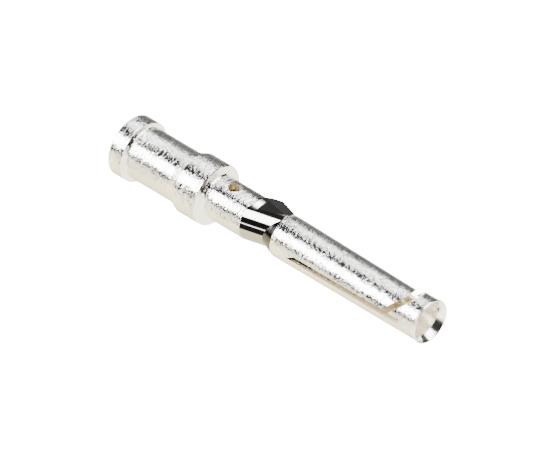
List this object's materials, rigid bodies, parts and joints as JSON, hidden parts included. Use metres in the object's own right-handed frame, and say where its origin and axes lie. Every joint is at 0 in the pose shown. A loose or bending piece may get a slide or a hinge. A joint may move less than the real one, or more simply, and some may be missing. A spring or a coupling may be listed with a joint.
{
  "type": "crimp socket contact",
  "caption": "Turned, silver-plated crimp socket contact: a flanged wire barrel with a locating collar, a pressed neck, and a sawn spring socket with a closed entry ring.",
  "frame": {"origin": "middle of the wire end's flat face, on which the contact stands", "axes": "+Z along the axis from the wire end to the socket's mouth; -Y towards the inspection hole and the spring tongue; the side slots face +X and -X"},
  "size_m": [0.0046, 0.0046, 0.0288],
  "materials": {
    "silver_plate": "satin silver plate over a copper alloy"
  },
  "bodies": {
    "root": {"contact": "silver_plate"}
  },
  "joints": []
}
